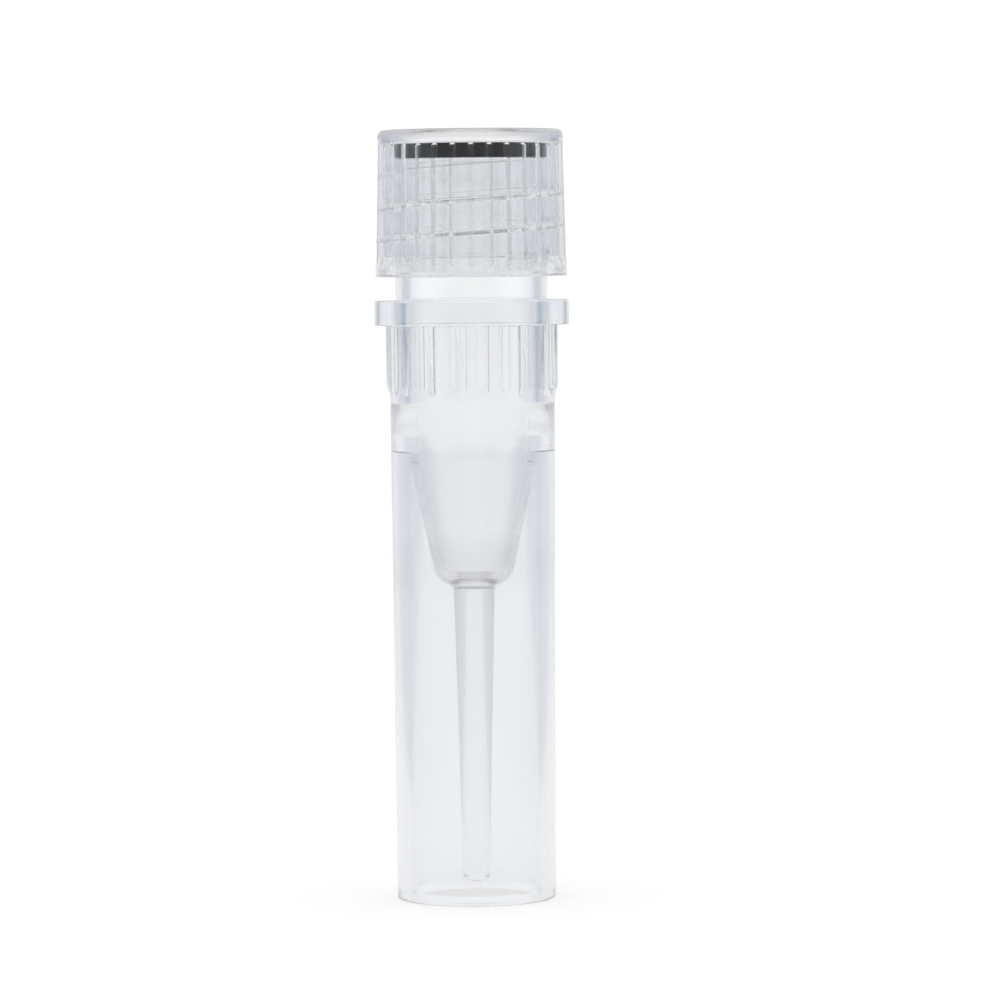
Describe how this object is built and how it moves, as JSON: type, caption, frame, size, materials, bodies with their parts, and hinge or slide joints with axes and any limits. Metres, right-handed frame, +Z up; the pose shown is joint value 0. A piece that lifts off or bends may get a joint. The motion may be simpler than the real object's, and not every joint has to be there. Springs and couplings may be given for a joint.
{
  "type": "screw-cap cryovial",
  "caption": "Clear self-standing screw-cap vial with a fluted cap, a black sealing ring, a ribbed grip under the flange and a conical reservoir inside a skirt.",
  "frame": {"origin": "centre of the ring that the skirt stands on, in the plane of the foot", "axes": "+Z up along the vial's axis, towards the cap; -Y is the front, where the first rib and the first flute are counted from"},
  "size_m": [0.0122, 0.0122, 0.0483],
  "materials": {
    "tube_plastic": "clear moulded polypropylene, smooth",
    "cap_plastic": "clear moulded polypropylene, smooth",
    "ring_rubber": "matt black moulded rubber"
  },
  "bodies": {
    "vial_body": {"tube": "tube_plastic"},
    "seal_body": {"o_ring": "ring_rubber"},
    "cap_body": {"cap": "cap_plastic"}
  },
  "joints": [
    {"name": "cap_lift", "type": "slide", "parent": "vial_body", "child": "seal_body", "axis": [0, 0, 1], "range_m": [0, 0.008]},
    {"name": "cap_turn", "type": "hinge", "parent": "seal_body", "child": "cap_body", "pos_m": [0, 0, 0.0391], "axis": [0, 0, 1], "range_deg": [0, 1441]}
  ],
  "couplings": [
    {"joint": "cap_turn", "follows": "cap_lift", "rad_per_m": 3141.6}
  ]
}
